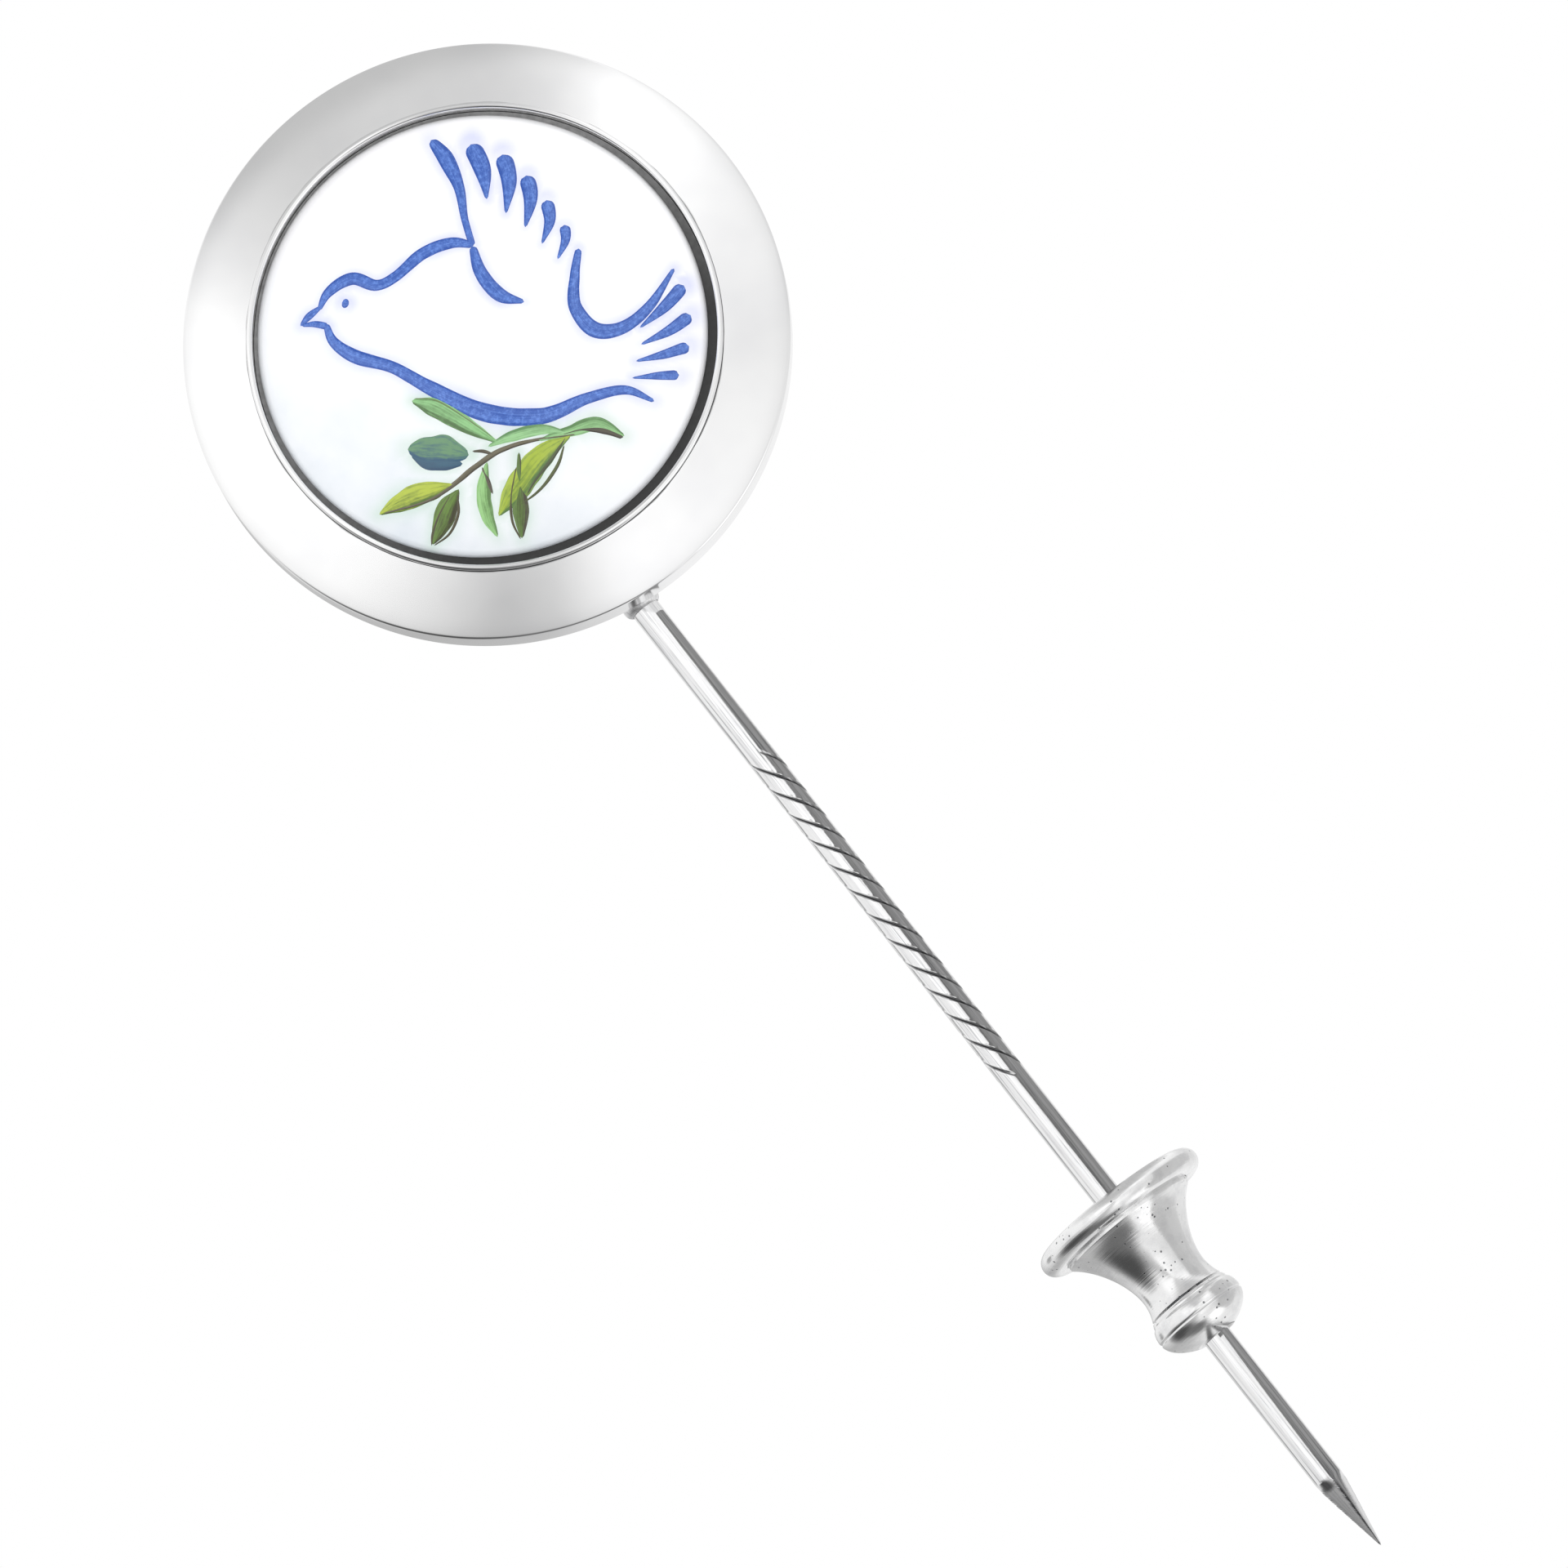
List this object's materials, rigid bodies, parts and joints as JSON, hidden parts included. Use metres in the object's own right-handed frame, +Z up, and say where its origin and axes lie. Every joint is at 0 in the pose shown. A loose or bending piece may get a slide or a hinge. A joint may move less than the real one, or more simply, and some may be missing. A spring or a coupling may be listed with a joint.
{
  "type": "hat pin",
  "caption": "Hat pin with a round silver-framed painted porcelain head, a twisted wire stem with a ground point, and a sliding ball clutch.",
  "frame": {"origin": "centre of the head's flat back", "axes": "-Y out of the head's face, +Y out of its back, +Z up with the stem pointing down -Z, +X to the right seen from the front"},
  "size_m": [0.025, 0.0078, 0.0737],
  "materials": {
    "polished_silver": "polished silver plate, satin sheen",
    "silver_wire": "drawn wire, silver plated, fine draw lines",
    "cast_silver": "turned casting, silver plated, slightly pitted",
    "steel": "turned steel",
    "solder": "dull silver solder",
    "glazed_porcelain": "white glaze, gloss, with a painted motif under it",
    "cement": "matt cement"
  },
  "bodies": {
    "pin": {"rim_frame": "polished_silver", "bezel_collar": "polished_silver", "porcelain_plaque": "glazed_porcelain", "plaque_cement_bed": "cement", "back_plate": "polished_silver", "stem_ferrule": "silver_wire", "solder_saddle": "solder", "stem": "silver_wire"},
    "clutch_core": {"grip_cone": "steel", "spring_seat_washer": "steel", "clutch_spring": "steel"},
    "clutch_shell": {"clutch_flange_cap": "polished_silver", "clutch_trumpet_shell": "cast_silver"},
    "plunger": {"ball_carrier": "steel", "pull_knob": "cast_silver"},
    "ball_1": {"grip_ball_1": "steel"},
    "ball_2": {"grip_ball_2": "steel"},
    "ball_3": {"grip_ball_3": "steel"}
  },
  "joints": [
    {"name": "clutch_slide", "type": "slide", "parent": "pin", "child": "clutch_core", "axis": [0, 0, -1], "range_m": [-0.0305, 0.0185]},
    {"name": "shell_turn", "type": "hinge", "parent": "clutch_core", "child": "clutch_shell", "pos_m": [-0.00155, 0.00096, -0.0436], "axis": [0, 0, -1], "continuous": true},
    {"name": "knob_pull", "type": "slide", "parent": "clutch_core", "child": "plunger", "axis": [0, 0, -1], "range_m": [0, 0.0007], "stiffness_N_per_m": 300, "springref_m": -0.0006, "deforming": ["clutch_spring"]},
    {"name": "ball_1_out", "type": "slide", "parent": "plunger", "child": "ball_1", "axis": [1, 0, 0], "range_m": [0, 0.0001]},
    {"name": "ball_2_out", "type": "slide", "parent": "plunger", "child": "ball_2", "axis": [-0.5, -0.866, 0], "range_m": [0, 0.0001]},
    {"name": "ball_3_out", "type": "slide", "parent": "plunger", "child": "ball_3", "axis": [-0.5, 0.866, 0], "range_m": [0, 0.0001]}
  ],
  "couplings": [
    {"joint": "ball_1_out", "follows": "knob_pull", "ratio": 0.14054},
    {"joint": "ball_2_out", "follows": "knob_pull", "ratio": 0.14054},
    {"joint": "ball_3_out", "follows": "knob_pull", "ratio": 0.14054}
  ]
}
